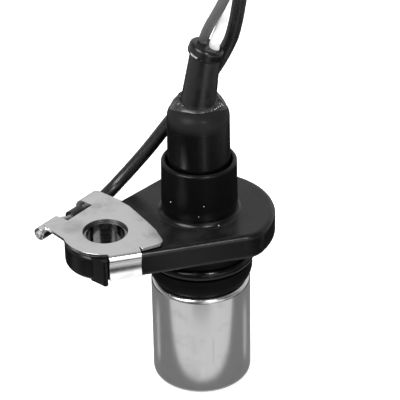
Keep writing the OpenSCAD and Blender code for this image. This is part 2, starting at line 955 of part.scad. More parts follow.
// A springy arm with a hook, held up over the connector by a post
module plug_latch() {
    under = plug_h / 2 + latch_gap;
    top = under + latch_t;
    post_from = plug_rear_l - latch_post_l;
    hook_at = plug_rear_l - hook_back;
    translate([-latch_w / 2, 0, 0])
    rotate([90, 0, 90])
    linear_extrude(latch_w)
    polygon([
        [latch_from, under], [post_from, under], [post_from, plug_h / 2 - join],
        [plug_rear_l, plug_h / 2 - join], [plug_rear_l, top],
        [hook_at, top], [hook_at, top + hook_h], [hook_at - hook_l, top], [latch_from, top]
    ]);
}

// Ribs on both sides to pull the connector by
module plug_grips() {
    rib_h = grip_share * plug_h;
    for (k = [0 : grip_count - 1])
        translate([-plug_w / 2 - grip_proud, grip_from + k * grip_pitch, -rib_h / 2])
            cube([plug_w + 2 * grip_proud, grip_l, rib_h]);
}

module plug_terminals() {
    color("#c4a659")
    at_plug()
    for (row = [-1 : 1]) translate([row * plug_pitch, seal_depth, 0])
    difference() {
        translate([-terminal_w / 2, 0, -terminal_w / 2])
            cube([terminal_w, plug_l - seal_depth - terminal_short, terminal_w]);
        translate([-terminal_w / 4, terminal_crimp_l, -terminal_w / 4])
            cube([terminal_w / 2, beyond, terminal_w / 2]);
    }
}

module plug_seals() {
    color("#4a6a8a")
    at_plug()
    for (row = [-1 : 1]) translate([row * plug_pitch, 0, 0])
    difference() {
        along_plug(plug_seal_d, 0, seal_depth);
        along_plug(row == 1 ? ground_lead_d : lead_d, -join, seal_depth + join);
    }
}

module plug_lock() {
    color("#d8d8d4")
    at_plug()
    translate([-plug_w / 2, lock_from, terminal_w / 2 + fit])
        cube([plug_w, lock_l, lock_t]);
}

sensor_can();
housing();
o_ring();
bolt_sleeve();
ground_clip();
ground_strands();
boot();
nozzle();
nozzle_sealant();
lead_grey();
lead_white();
lead_black();
pole_piece();
magnet();
coil_bobbin();
coil_winding();
coil_tape();
pin_grey();
pin_white();
splice_grey();
splice_white();
tail_grey();
tail_white();
potting();
plug_housing();
plug_terminals();
plug_seals();
plug_lock();
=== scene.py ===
# %% [markdown]
# # Dressing a crankshaft position sensor
#
# This sensor sits in a bore of an engine block and feels the teeth of a wheel that
# passes its steel face. Its solids come from CAD at their real size, in metres. This
# lesson gives them their finish: drawn steel, moulded plastic, rubber, plated sheet
# and wire insulation. It also builds the pieces that CAD keeps plain, which are the
# leads, the bare strands, the sealing compound and the edges of the sheet metal clip.
#
# The first step loads the CAD model as a fixed frame.

# %% Load the frame
import json
import math

import bmesh
import bpy
from mathutils import Matrix, Vector, noise
from mathutils.bvhtree import BVHTree


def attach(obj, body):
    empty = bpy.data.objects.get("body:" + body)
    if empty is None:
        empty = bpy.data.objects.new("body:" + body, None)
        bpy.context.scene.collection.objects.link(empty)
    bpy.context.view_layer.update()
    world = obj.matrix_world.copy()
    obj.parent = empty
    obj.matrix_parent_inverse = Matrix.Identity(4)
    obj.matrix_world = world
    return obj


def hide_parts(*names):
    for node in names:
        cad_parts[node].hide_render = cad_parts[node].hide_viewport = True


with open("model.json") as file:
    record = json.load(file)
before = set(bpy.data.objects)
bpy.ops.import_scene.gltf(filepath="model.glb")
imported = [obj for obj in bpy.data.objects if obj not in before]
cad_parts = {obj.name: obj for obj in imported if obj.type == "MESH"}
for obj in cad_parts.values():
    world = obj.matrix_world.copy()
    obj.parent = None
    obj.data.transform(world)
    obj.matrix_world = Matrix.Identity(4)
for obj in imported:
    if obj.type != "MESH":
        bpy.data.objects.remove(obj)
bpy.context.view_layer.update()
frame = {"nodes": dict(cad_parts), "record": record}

MM = 0.001
nodes = frame["nodes"]

# %% [markdown]
# ## The camera
#
# The picture was taken with a long lens, from above and in front, turned a little
# towards the bolt ear. A camera is fixed by where it looks, from which side, from how
# far and how it is rolled. All four were found by laying the CAD edges over the picture.
# The three unit vectors made here, to the right, away from the camera and up, are used
# again below wherever a lamp or a card is placed "to the left" or "in front".

# %% Camera
CAMERA_TURN = math.radians(-27.45)
CAMERA_RISE = math.radians(31.5)
CAMERA_ROLL = math.radians(0.9)
CAMERA_DISTANCE = 330 * MM
CAMERA_LENS = 163.35
TARGET_RIGHT, TARGET_UP = 0.08 * MM, 37.1 * MM

UP = Vector((0, 0, 1))
RIGHT = Vector((math.cos(CAMERA_TURN), math.sin(CAMERA_TURN), 0))
AWAY = Vector((-math.sin(CAMERA_TURN), math.cos(CAMERA_TURN), 0))


def look(back, up, roll):
    """The turn of a camera or lamp whose back and up directions are given."""
    side = up.cross(back).normalized()
    up = back.cross(side)
    rolled = side * math.cos(roll) - up * math.sin(roll)
    return Matrix((rolled, back.cross(rolled), back)).transposed()


target = RIGHT * TARGET_RIGHT + UP * TARGET_UP
camera_back = UP * math.sin(CAMERA_RISE) - AWAY * math.cos(CAMERA_RISE)
camera_turn = look(camera_back, UP, CAMERA_ROLL)
camera_place = target + camera_back * CAMERA_DISTANCE

camera = bpy.data.objects.new("camera", bpy.data.cameras.new("camera"))
camera.data.lens = CAMERA_LENS
camera.data.clip_start, camera.data.clip_end = 10 * MM, 20
camera.matrix_world = Matrix.Translation(camera_place) @ camera_turn.to_4x4()
bpy.context.scene.collection.objects.link(camera)
bpy.context.scene.camera = camera
print("camera at", [round(x / MM) for x in camera_place], "mm")

# %% [markdown]
# ## Short calls for node trees
#
# Materials, effects and Geometry Nodes are all node trees. Adding nodes one call at a
# time is long-winded, so this small wrapper adds a node, sets its properties and its
# inputs by name, and links whatever was given as a socket. Sums, products, smooth steps
# and distances come up again and again, so each has a short call of its own.

# %% Node tree helper
class Tree:
    """A node tree with short calls to add, fill and link nodes."""

    def __init__(self, tree):
        self.tree = tree

    def add(self, kind, settings=None, **inputs):
        made = self.tree.nodes.new(kind)
        for name, value in (settings or {}).items():
            setattr(made, name, value)
        for name, value in inputs.items():
            self.fill(made.inputs[name.replace("_", " ")], value)
        return made

    def fill(self, socket, value):
        if isinstance(value, bpy.types.NodeSocket):
            self.tree.links.new(value, socket)
        else:
            socket.default_value = value

    def math(self, operation, *values):
        made = self.add("ShaderNodeMath", {"operation": operation})
        for socket, value in zip(made.inputs, values):
            self.fill(socket, value)
        return made.outputs[0]

    def chain(self, operation, first, *others):
        for other in others:
            first = self.math(operation, first, other)
        return first

    def total(self, *values):
        return self.chain("ADD", *values)

    def product(self, *values):
        return self.chain("MULTIPLY", *values)

    def vector(self, operation, first, second, output):
        made = self.add("ShaderNodeVectorMath", {"operation": operation})
        self.fill(made.inputs[0], first)
        self.fill(made.inputs[1], second)
        return made.outputs[output]

    def along(self, vector, direction):
        """How far a vector goes in a direction."""
        return self.vector("DOT_PRODUCT", vector, direction, "Value")

    def distance(self, vector, point):
        return self.vector("DISTANCE", vector, point, "Value")

    def height(self, vector):
        return self.add("ShaderNodeSeparateXYZ", Vector=vector).outputs["Z"]

    def ramp(self, value, low, high, to_low=0.0, to_high=1.0):
        """A smooth step from to_low to to_high while value goes from low to high."""
        made = self.add("ShaderNodeMapRange", {"interpolation_type": "SMOOTHSTEP"})
        for socket, given in zip(made.inputs, (value, low, high, to_low, to_high)):
            self.fill(socket, given)
        return made.outputs[0]

    def band(self, value, begins, full, fades, ends):
        """1 from full to fades, and smoothly down to 0 at begins and at ends."""
        return self.product(self.ramp(value, begins, full), self.ramp(value, fades, ends, 1.0, 0.0))

    def blend(self, share, first, second):
        """first where share is 0, second where it is 1; both are colours."""
        made = self.add("ShaderNodeMix", {"data_type": "RGBA"})
        for index, given in ((0, share), (6, first), (7, second)):
            self.fill(made.inputs[index], given)
        return made.outputs[2]

    def noise(self, vector, scale, detail=3.0, roughness=0.5):
        made = self.add("ShaderNodeTexNoise", Vector=vector, Scale=scale, Detail=detail, Roughness=roughness)
        return made.outputs[0]


def grey(level):
    return (level, level, level, 1)


print("node helper:", len([name for name in vars(Tree) if name[0] != "_"]), "short calls")

# %% [markdown]
# ## The leads
#
# Three leads join the sensor to its connector: a grey and a white signal lead out of
# the rubber nozzle, and a black ground lead out of the clip. Each starts inside the
# piece that holds it and ends in a row of the connector, so those places come first.
# They are the ones that the CAD model uses, in millimetres. The routes lie in a plane
# that is turned a little from the bolt ear.

# %% Where the leads start and end
LEAD_TURN = Matrix.Rotation(math.radians(-27.5), 3, "Z")
NOZZLE_LEAN = math.radians(8)
NOZZLE_FOOT = Vector((0, 0, 57.1))
NOZZLE_L = 11.6
TIP_WAY = Vector((math.sin(NOZZLE_LEAN), 0, math.cos(NOZZLE_LEAN)))
TIP_SIDE = Vector((math.cos(NOZZLE_LEAN), 0, -math.sin(NOZZLE_LEAN)))
BOLT = Vector((-19, 0, 35.7))
CRIMP_TURN = Matrix.Rotation(math.radians(23.5), 3, "Z")
CRIMP_REACH = 10
PLUG_PLACE = Vector((51, 12, 5.5))
PLUG_PITCH = 4.2


def at_tip(right, back):
    """Two points where a signal lead leaves the nozzle's tip."""
    start = NOZZLE_FOOT + TIP_WAY * NOZZLE_L + TIP_SIDE * right + Vector((0, back, 0))
    return [start, start + TIP_WAY]


def on_crimp(along, up):
    """A point of the crimped ground lead, turned into the plane of the leads."""
    return LEAD_TURN.inverted() @ (BOLT + CRIMP_TURN @ Vector((along, CRIMP_REACH, up)))


def into_plug(row):
    """The last points of a lead: down to the floor and straight into the connector."""
    steps = [(-21, 16.5), (-17.5, 3.5), (-9, 0), (0, 0), (5, 0)]
    return [PLUG_PLACE + Vector((row * PLUG_PITCH, back, up)) for back, up in steps]


print("leads: from z", round(at_tip(0, 0)[0].z, 1), "mm at the nozzle to the floor")

# %% [markdown]
# A lead bends evenly, with no corners. So the route gets only a few points, and a smooth
# curve that passes through all of them fills in the rest. The length of that curve is
# the length that the lead is cut to.

# %% Routes of the leads
ROUTE_STEPS = 10


def smooth(points):
    """Points of the smooth curve through the route points, in metres in the shared frame."""
    points = [Vector(p) for p in points]
    padded = [2 * points[0] - points[1], *points, 2 * points[-1] - points[-2]]
    line = []
    for before, here, there, after in zip(padded, padded[1:], padded[2:], padded[3:]):
        for step in range(ROUTE_STEPS):
            s = step / ROUTE_STEPS
            line.append(0.5 * (
                2 * here
                + (there - before) * s
                + (2 * before - 5 * here + 4 * there - after) * s * s
                + (3 * here - before - 3 * there + after) * s * s * s
            ))
    return [LEAD_TURN @ p * MM for p in [*line, points[-1]]]


def length_of(line):
    return sum((b - a).length for a, b in zip(line, line[1:]))


grey_route = at_tip(-0.5, 0.75) + [
    (2.2, 0.15, 72.2), (4.1, -1, 76.3), (7.7, -1.2, 84), (15.5, -1.2, 100), (31, -1.2, 110),
    (45, -1.2, 98), (49, -1.2, 74), (48, -6, 45),
] + into_plug(-1)
white_route = at_tip(1.4, -0.35) + [
    (4.15, 0.1, 72.1), (4.85, 1.05, 75.4), (6.6, 1.1, 84), (15, 1.1, 99.5), (31, 1.1, 108.5),
    (44, 1.1, 98), (50, 1.1, 74), (51, -6, 45),
] + into_plug(0)
black_route = [on_crimp(along, -1.25) for along in (1.7, 5.2, 9.7, 11.2)] + [
    (-14.7, 8.3, 36.6), (-9.6, 9, 42.5), (-4.75, 9, 49.1), (1.7, 7.2, 58.3), (5.25, 5, 65.6),
    (6.8, 4.3, 70.9), (9, 3.6, 84), (12.8, 3.6, 93), (20.5, 3.6, 102), (31, 3.6, 107),
    (41, 4, 101.5), (47.5, 4, 90), (51, 4, 74), (53, -1, 60), (54, -6, 45),
] + into_plug(1)
lead_lines = {
    "grey": smooth(grey_route),
    "white": smooth(white_route),
    "black": smooth(black_route),
}
for name, line in lead_lines.items():
    print(name, "lead:", round(length_of(line) / MM, 1), "mm")

# %% [markdown]
# ## A tube along a path, in Geometry Nodes
#
# A lead is a tube that follows a path, which is what Geometry Nodes do well. The tree
# takes a mesh of edges, turns it into a curve, sweeps a circle along it and closes the
# ends. Its inputs are the tube's diameter, the number of sides and the material.

# %% Tube tree
def tube_tree():
    tree = bpy.data.node_groups.new("tube along a path", "GeometryNodeTree")
    face = tree.interface
    face.new_socket("Path", in_out="INPUT", socket_type="NodeSocketGeometry")
    face.new_socket("Diameter", in_out="INPUT", socket_type="NodeSocketFloat")
    face.new_socket("Sides", in_out="INPUT", socket_type="NodeSocketInt")
    face.new_socket("Material", in_out="INPUT", socket_type="NodeSocketMaterial")
    face.new_socket("Tube", in_out="OUTPUT", socket_type="NodeSocketGeometry")
    t = Tree(tree)
    given = t.add("NodeGroupInput").outputs
    curve = t.add("GeometryNodeMeshToCurve", Mesh=given["Path"]).outputs[0]
    radius = t.math("MULTIPLY", given["Diameter"], 0.5)
    ring = t.add("GeometryNodeCurvePrimitiveCircle", Resolution=given["Sides"], Radius=radius).outputs[0]
    swept = t.add("GeometryNodeCurveToMesh", Curve=curve, Profile_Curve=ring, Fill_Caps=True)
    soft = t.add("GeometryNodeSetShadeSmooth", Geometry=swept.outputs[0])
    plain = t.add("GeometryNodeRealizeInstances", Geometry=soft.outputs[0])
    painted = t.add("GeometryNodeSetMaterial", Geometry=plain.outputs[0], Material=given["Material"])
    out = t.add("NodeGroupOutput")
    tree.links.new(painted.outputs[0], out.inputs[0])
    return tree


TUBE = tube_tree()
print("tube tree:", len(TUBE.nodes), "nodes")

# %% [markdown]
# The result of the tree is turned into a plain mesh, because a modifier that is still
# live would not travel with the exported model. A modifier's inputs are set by the
# identifier of the socket, not by its name, before the mesh is first evaluated.

# %% From a tree to a piece
def piece(name, mesh):
    """A new object at the origin that rides with the sensor."""
    made = bpy.data.objects.new(name, mesh)
    bpy.context.scene.collection.objects.link(made)
    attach(made, "root")
    return made


def plain_mesh(carrier):
    """The mesh that a carrier's modifiers make; the carrier itself is removed."""
    bpy.context.view_layer.update()
    evaluated = carrier.evaluated_get(bpy.context.evaluated_depsgraph_get())
    made = bpy.data.meshes.new_from_object(evaluated)
    bpy.data.objects.remove(carrier)
    return made


def with_nodes(name, mesh, tree, **inputs):
    """The plain mesh that a Geometry Nodes tree makes of a mesh."""
    carrier = bpy.data.objects.new(name + "_path", mesh)
    bpy.context.scene.collection.objects.link(carrier)
    modifier = carrier.modifiers.new(name, "NODES")
    modifier.node_group = tree
    for socket in tree.interface.items_tree:
        if socket.in_out == "INPUT" and socket.name in inputs:
            modifier[socket.identifier] = inputs[socket.name]
    made = plain_mesh(carrier)
    made.name = name
    return made


def chains(name, lines):
    """A mesh of edges along each of the lines."""
    mesh = bpy.data.meshes.new(name)
    points, edges = [], []
    for line in lines:
        first = len(points)
        points += [tuple(p) for p in line]
        edges += [(first + i, first + i + 1) for i in range(len(line) - 1)]
    mesh.from_pydata(points, edges, [])
    return mesh


def tubes(name, lines, diameter, sides, material):
    paths = chains(name, lines)
    return piece(name, with_nodes(name, paths, TUBE, Diameter=diameter, Sides=sides, Material=material))


print("tube inputs:", [s.name for s in TUBE.interface.items_tree if s.in_out == "INPUT"])

# %% [markdown]
# ## Shared surface effects
#
# Nothing real has one flat colour. Three effects come up on several finishes here:
# a fine grain, long streaks from drawing or rolling, and blotches where hands and oil
# have been. Each is a shader node group with its own inputs, built once, that puts out
# plain values. The materials decide what those values do.

# %% Effect helper
def effect(name, numbers):
    """A shader group with number inputs and one value output, and its wrapper."""
    tree = bpy.data.node_groups.new(name, "ShaderNodeTree")
    for label, value in numbers.items():
        socket = tree.interface.new_socket(label, in_out="INPUT", socket_type="NodeSocketFloat")
        socket.default_value = value
    tree.interface.new_socket("Value", in_out="OUTPUT", socket_type="NodeSocketFloat")
    t = Tree(tree)
    return t, t.add("NodeGroupInput").outputs, t.add("NodeGroupOutput").inputs


def place(t):
    """Object coordinates, in metres in the shared frame."""
    return t.add("ShaderNodeTexCoord").outputs["Object"]


def place_mm(t):
    """Object coordinates in millimetres."""
    made = t.add("ShaderNodeVectorMath", {"operation": "SCALE"})
    t.fill(made.inputs[0], place(t))
    made.inputs["Scale"].default_value = 1 / MM
    return made.outputs[0]


def use(t, group, **numbers):
    """Places an effect group in a material and gives its value."""
    made = t.add("ShaderNodeGroup", {"node_tree": group})
    for label, value in numbers.items():
        made.inputs[label.replace("_", " ")].default_value = value
    return made.outputs[0]


print("effect helper ready")

# %% [markdown]
# The noise texture does the work in all three. Grain is plain noise, a streak is noise
# that is squeezed along some axes, and a blotch is noise cut off between two levels.

# %% Effect groups
def grain_group():
    """Even fine noise, so many grains to the millimetre."""
    t, given, out = effect("fine grain", {"Grains per mm": 4.0, "Detail": 3.0})
    size = t.math("MULTIPLY", given["Grains per mm"], 1 / MM)
    t.fill(out[0], t.noise(place(t), size, given["Detail"], 0.6))
    return t.tree


def streak_group():
    """Noise drawn out along one axis, for drawn cans and rolled sheet."""
    labels = {"Per mm across X": 3.0, "Per mm across Y": 3.0, "Per mm across Z": 0.1}
    t, given, out = effect("streaks", labels)
    parts = t.add("ShaderNodeSeparateXYZ", Vector=place(t)).outputs
    drawn = t.add("ShaderNodeCombineXYZ")
    for axis, label in zip("XYZ", labels):
        per_metre = t.math("MULTIPLY", given[label], 1 / MM)
        t.fill(drawn.inputs[axis], t.math("MULTIPLY", parts[axis], per_metre))
    t.fill(out[0], t.noise(drawn.outputs[0], 1.0, 4.0, 0.65))
    return t.tree


def blotch_group():
    """Soft patches with firm middles."""
    t, given, out = effect("blotches", {"Patches per mm": 0.3, "Low": 0.45, "High": 0.7})
    size = t.math("MULTIPLY", given["Patches per mm"], 1 / MM)
    value = t.noise(place(t), size, 4.0, 0.55)
    t.fill(out[0], t.ramp(value, given["Low"], given["High"]))
    return t.tree


GRAIN, STREAKS, BLOTCHES = grain_group(), streak_group(), blotch_group()
print("effects:", [g.name for g in (GRAIN, STREAKS, BLOTCHES)])

# %% [markdown]
# ## Materials
#
# Every finish starts from the Principled shader. What is the same all over the surface
# is set on the shader's own sockets, and what changes over it comes from the effects:
# the colour shifts a little, the roughness a little more, and a bump breaks up the
# reflections. The record of the part names a material slot for every CAD node, and the
# finish of each slot is kept under that name. A recipe is a function that makes one
# finish, so finishes of the same kind differ only in a row of numbers.

# %% Material helper
paints = {}


def finish(name, **fixed):
    """A material with a Principled shader, fixed values set, ready for more nodes."""
    made = bpy.data.materials.new(name)
    made.use_nodes = True
    t = Tree(made.node_tree)
    shader = made.node_tree.nodes["Principled BSDF"]
    for label, value in fixed.items():
        shader.inputs[label.replace("_", " ")].default_value = value
    return made, t, shader.inputs


def bump(t, into, height, depth_mm, strength):
    """Feeds a height through a Bump node into the shader's normal."""
    made = t.add("ShaderNodeBump", Height=height, Strength=strength, Distance=depth_mm * MM)
    t.fill(into["Normal"], made.outputs[0])


def darker(colour, share):
    return tuple(share * c for c in colour[:3]) + (1,)


def paint(recipe, rows):
    """Makes the finish of each row's slot by one recipe."""
    for name, values in rows.items():
        paints[name] = recipe(name, *values)
    print(recipe.__name__ + ":", ", ".join(rows))


# %% [markdown]
# ### Drawn steel can
#
# The can is deep drawn from bright sheet. Its reflections are soft but whole, with
# faint upright draw marks and a few dull patches where it was handled. One longer mark
# runs down its front: it is painted where the surface crosses an upright plane, between
# two heights.

# %% Can steel
MARK_TURN = math.radians(13.3)
MARK_WAY = RIGHT * math.cos(MARK_TURN) + AWAY * math.sin(MARK_TURN)
MARK_HEIGHTS = (5.5, 8.5, 11.5, 13.5)
CLEAN_STEEL, SOILED_STEEL = grey(0.62), grey(0.52)


def drawn_steel(name):
    made, t, into = finish(name, Metallic=1.0)
    draw = use(t, STREAKS, Per_mm_across_X=1.6, Per_mm_across_Y=1.6, Per_mm_across_Z=0.05)
    smudge = use(t, BLOTCHES, Patches_per_mm=0.22, Low=0.5, High=0.72)
    off_mark = t.math("ABSOLUTE", t.along(place_mm(t), MARK_WAY))
    mark = t.ramp(off_mark, 0.1, 0.35, 0.55, 0.0)
    mark = t.product(mark, t.band(t.height(place_mm(t)), *MARK_HEIGHTS))
    soiled = t.math("MAXIMUM", mark, t.product(smudge, 0.5))
    t.fill(into["Base Color"], t.blend(soiled, CLEAN_STEEL, SOILED_STEEL))
    dull = t.ramp(draw, 0.3, 0.7, 0.17, 0.23)
    t.fill(into["Roughness"], t.total(dull, t.product(smudge, 0.03)))
    bump(t, into, draw, 0.004, 0.25)
    return made


paint(drawn_steel, {"can_steel": ()})

# %% [markdown]
# ### Black mouldings
#
# Housing, boot and connector are black glass-filled plastic. Such a moulding leaves its
# tool with a satin skin, and handling wears the skin off. So the recipe is dull black
# plastic under a thin clear coat, and the coat's weight carries the wear. The weight
# drops a little in soft patches. At some heights it nearly goes: on the housing under
# its flange and round the collar, up to the collar's rim, and on the boot's shoulder,
# which was rubbed. The bare plastic there is rougher and has a faint bloom of its own.
# What looks up also carries a thin film of dust. A zone gives the height where a change
# begins, the height where it ends, and the share of the skin below and above.

# %% Black plastic
DUST_FILM = grey(0.016)
BARE_SHINE = 0.05
PLASTIC_IOR = 1.48


def black_plastic(name, level, dull, shine, zones, bloom):
    made, t, into = finish(
        name, IOR=PLASTIC_IOR, Specular_IOR_Level=BARE_SHINE,
        Coat_IOR=PLASTIC_IOR, Coat_Roughness=dull + 0.03,
    )
    height = t.height(place_mm(t))
    kept = t.product(1.0, *[t.ramp(height, *zone) for zone in zones])
    gone = t.math("SUBTRACT", 1.0, kept)
    grain = use(t, GRAIN, Grains_per_mm=4.0, Detail=4.0)
    patch = use(t, BLOTCHES, Patches_per_mm=0.2, Low=0.4, High=0.68)
    upward = t.height(t.add("ShaderNodeNewGeometry").outputs["Normal"])
    film = t.product(t.ramp(upward, 0.8, 0.98), t.ramp(patch, 0.0, 1.0, 0.35, 1.0))
    colour = t.blend(patch, grey(level), grey(level * 1.8))
    colour = t.blend(film, colour, DUST_FILM)
    t.fill(into["Base Color"], t.blend(gone, colour, grey(bloom)))
    skin = 2 * (shine - BARE_SHINE)
    t.fill(into["Coat Weight"], t.product(kept, t.ramp(patch, 0.0, 1.0, skin, skin * 0.75)))
    rough = t.ramp(grain, 0.3, 0.7, dull - 0.04, dull + 0.05)
    bare = t.ramp(kept, 0.3, 1.0, 0.25, 0.0)
    t.fill(into["Roughness"], t.total(rough, bare, t.product(patch, 0.06)))
    bump(t, into, grain, 0.004, 0.08)
    return made


BODY_ZONES = [(28.5, 30.4, 0.04, 1.0), (36.9, 38.8, 1.0, 0.07), (45.3, 45.8, 1.0, 11.0)]
BOOT_ZONES = [(53.0, 55.0, 1.0, 0.08)]
PLUG_ZONES = [(0.0, 6.0, 0.8, 1.0)]
paint(black_plastic, {
    "body_plastic": (0.002, 0.25, 0.33, BODY_ZONES, 0.002),
    "boot_plastic": (0.002, 0.2, 0.32, BOOT_ZONES, 0.015),
    "plug_plastic": (0.006, 0.4, 0.35, PLUG_ZONES, 0.012),
})

# %% [markdown]
# ### Rubber
#
# The seal ring is oiled and glossy, the nozzle is less so, with wiped patches, and the
# wire seals of the connector are dull. One recipe does all three.

# %% Rubber
def rubber(name, level, dull, shine, grain_depth):
    made, t, into = finish(name, IOR=1.5, Specular_IOR_Level=shine)
    grain = use(t, GRAIN, Grains_per_mm=3.0, Detail=5.0)
    wiped = use(t, BLOTCHES, Patches_per_mm=0.35, Low=0.4, High=0.7)
    t.fill(into["Base Color"], t.blend(wiped, grey(level), grey(level * 1.8)))
    t.fill(into["Roughness"], t.ramp(wiped, 0.0, 1.0, dull, dull + 0.15))
    bump(t, into, grain, grain_depth, 0.6)
    return made


paint(rubber, {
    "seal_rubber": (0.001, 0.14, 0.22, 0.003),
    "nozzle_rubber": (0.003, 0.26, 0.45, 0.008),
    "plug_seal_rubber": (0.05, 0.45, 0.4, 0.01),
})

# %% [markdown]
# A pale scuff lies on the nozzle just under its bead, where a tie or a tool rubbed it.
# It is painted where the surface comes close to a short line in space: the line's ends
# are in the shared frame, and noise frays the rim of the mark.

# %% Scuff on the nozzle
SCUFF_FROM = Vector((-1.8, -1.1, 67.75))
SCUFF_TO = Vector((-1.35, -2.25, 67.35))
SCUFF_WIDE = 0.24
SCUFF_PALE = grey(0.4)


def add_scuff(material):
    t = Tree(material.node_tree)
    into = material.node_tree.nodes["Principled BSDF"].inputs
    way = (SCUFF_TO - SCUFF_FROM).normalized()
    half = (SCUFF_TO - SCUFF_FROM).length / 2
    offset = t.vector("SUBTRACT", place_mm(t), (SCUFF_FROM + SCUFF_TO) / 2, "Vector")
    run = t.math("ABSOLUTE", t.along(offset, way))
    across = t.distance(t.vector("CROSS_PRODUCT", offset, way, "Vector"), (0, 0, 0))
    frayed = t.total(across, t.product(use(t, GRAIN, Grains_per_mm=3.0), 0.2))
    mark = t.ramp(frayed, SCUFF_WIDE - 0.02, SCUFF_WIDE + 0.14, 1.0, 0.0)
    mark = t.product(mark, t.ramp(run, half, half + 0.3, 1.0, 0.0))
    colour = into["Base Color"].links[0].from_socket
    t.fill(into["Base Color"], t.blend(mark, colour, SCUFF_PALE))


add_scuff(paints["nozzle_rubber"])
print("scuff:", round((SCUFF_TO - SCUFF_FROM).length, 2), "mm long")

# %% [markdown]
# ### Turned and drawn metals
#
# The sleeve, the strands, the contacts and the parts inside the coil are turned or
# drawn, and their marks run along one direction. The three numbers of the marks say how
# many there are to the millimetre along each axis.

# %% Metals
def metal(name, colour, dull, marks, depth):
    made, t, into = finish(name, Metallic=1.0)
    lines = use(t, STREAKS, Per_mm_across_X=marks[0], Per_mm_across_Y=marks[1], Per_mm_across_Z=marks[2])
    stain = use(t, BLOTCHES, Patches_per_mm=0.3, Low=0.5, High=0.75)
    t.fill(into["Base Color"], t.blend(stain, colour, darker(colour, 0.8)))
    rough = t.ramp(lines, 0.3, 0.7, max(dull - 0.05, 0.05), dull + 0.06)
    t.fill(into["Roughness"], t.total(rough, t.product(stain, 0.08)))
    bump(t, into, lines, depth, 0.4)
    return made


paint(metal, {
    "sleeve_steel": (grey(0.24), 0.1, (0.4, 0.4, 2), 0.001),
    "strand_metal": (grey(0.7), 0.42, (1, 1, 1), 0.004),
    "contact_brass": ((0.72, 0.53, 0.24, 1), 0.3, (3, 3, 0.2), 0.004),
    "winding_copper": ((0.6, 0.25, 0.1, 1), 0.35, (0.2, 0.2, 8), 0.02),
    "pole_iron": (grey(0.35), 0.4, (3, 3, 0.2), 0.006),
    "magnet_alloy": (grey(0.22), 0.45, (1, 1, 1), 0.006),
})

# %% [markdown]
# ### Plated sheet
#
# The clip is stamped from plated sheet, so it has no such marks: it is smooth and pale,
# with cloudy stains where it was handled. The wall of its punched hole was sheared, so
# it is rougher, and it is painted a darker grey: partly its bare sheared steel, partly
# painted shade for the shade inside the hole. It is found by its distance from the bolt's axis.

# %% Clip plate
HOLE_R = 4.05
STAINS = [((-23.4, 3.9, 36.3), 3.2), ((-16.8, 8.4, 36.3), 1.7)]
# A darker grey for the hole's wall: painted shade inside the hole, partly also its bare sheared steel.
SHEARED_AND_SHADED = grey(0.2)


def plated_sheet(name, level, dull):
    made, t, into = finish(name, Metallic=1.0)
    cloud = use(t, BLOTCHES, Patches_per_mm=0.16, Low=0.46, High=0.74)
    speck = use(t, GRAIN, Grains_per_mm=1.2, Detail=5.0)
    patchy = use(t, BLOTCHES, Patches_per_mm=0.5, Low=0.3, High=0.6)
    for middle, reach in STAINS:
        stain = t.ramp(t.distance(place_mm(t), middle), 0.3 * reach, reach, 1.0, 0.0)
        cloud = t.math("MAXIMUM", cloud, t.product(stain, t.ramp(patchy, 0.0, 1.0, 0.55, 1.0)))
    flat = t.vector("MULTIPLY", place_mm(t), (1, 1, 0), "Vector")
    off_bolt = t.distance(flat, (BOLT.x, BOLT.y, 0))
    # Near the bolt's axis the hole's wall is painted darker, as painted shade, and made rougher by its
    # shearing.
    sheared_and_shaded = t.ramp(off_bolt, HOLE_R + 0.01, HOLE_R + 0.05, 1.0, 0.0)
    colour = t.blend(cloud, grey(level), grey(level * 0.74))
    t.fill(into["Base Color"], t.blend(sheared_and_shaded, colour, SHEARED_AND_SHADED))
    rough = t.ramp(speck, 0.3, 0.7, dull - 0.03, dull + 0.04)
    t.fill(into["Roughness"], t.total(rough, t.product(cloud, 0.06), t.product(sheared_and_shaded, 0.25)))
    bump(t, into, speck, 0.004, 0.2)
    return made


paint(plated_sheet, {"clip_plate": (0.64, 0.22)})

# %% [markdown]
# ### Insulation and compounds
#
# Wire insulation is extruded plastic with a soft sheen, and the pale mouldings of the
# bobbin and the connector's lock are much like it. The sealing compound, the potting and
# the coil's tape are shinier and uneven, and pale crumbs stick to the sealing compound.

# %% Insulation and compounds
CRUMB = grey(0.5)


def insulation(name, level, dull, shine):
    made, t, into = finish(name, IOR=1.46, Specular_IOR_Level=shine)
    rub = use(t, BLOTCHES, Patches_per_mm=0.25, Low=0.4, High=0.75)
    grain = use(t, GRAIN, Grains_per_mm=2.5, Detail=4.0)
    t.fill(into["Base Color"], t.blend(rub, grey(level), grey(level * 0.86)))
    t.fill(into["Roughness"], t.ramp(grain, 0.3, 0.7, dull - 0.06, dull + 0.08))
    bump(t, into, grain, 0.01, 0.5)
    return made


def compound(name, colour, dull, dusty):
    made, t, into = finish(name, IOR=1.5)
    lump = use(t, GRAIN, Grains_per_mm=1.6, Detail=3.0)
    uneven = t.blend(lump, colour, darker(colour, 0.6))
    if dusty:
        crumbs = t.ramp(use(t, GRAIN, Grains_per_mm=2.0, Detail=2.0), 0.6, 0.7, 0.0, dusty)
        uneven = t.blend(crumbs, uneven, CRUMB)
    t.fill(into["Base Color"], uneven)
    t.fill(into["Roughness"], t.ramp(lump, 0.3, 0.7, dull, dull + 0.12))
    bump(t, into, lump, 0.05, 0.6)
    return made


paint(insulation, {
    "grey_insulation": (0.085, 0.4, 0.5),
    "white_insulation": (0.9, 0.4, 0.5),
    "black_insulation": (0.008, 0.3, 0.55),
    "bobbin_plastic": (0.6, 0.45, 0.5),
    "lock_plastic": (0.62, 0.45, 0.5),
})
paint(compound, {
    "sealant": (grey(0.028), 0.26, 0.3),
    "potting_resin": (grey(0.03), 0.2, 0.0),
    "coil_tape": ((0.5, 0.33, 0.06, 1), 0.25, 0.0),
})

# %% [markdown]
# ### Which piece gets which finish
#
# Each CAD node gets the finish of its slot, also the nodes that are hidden inside the
# sensor. Their meshes stay as they are.

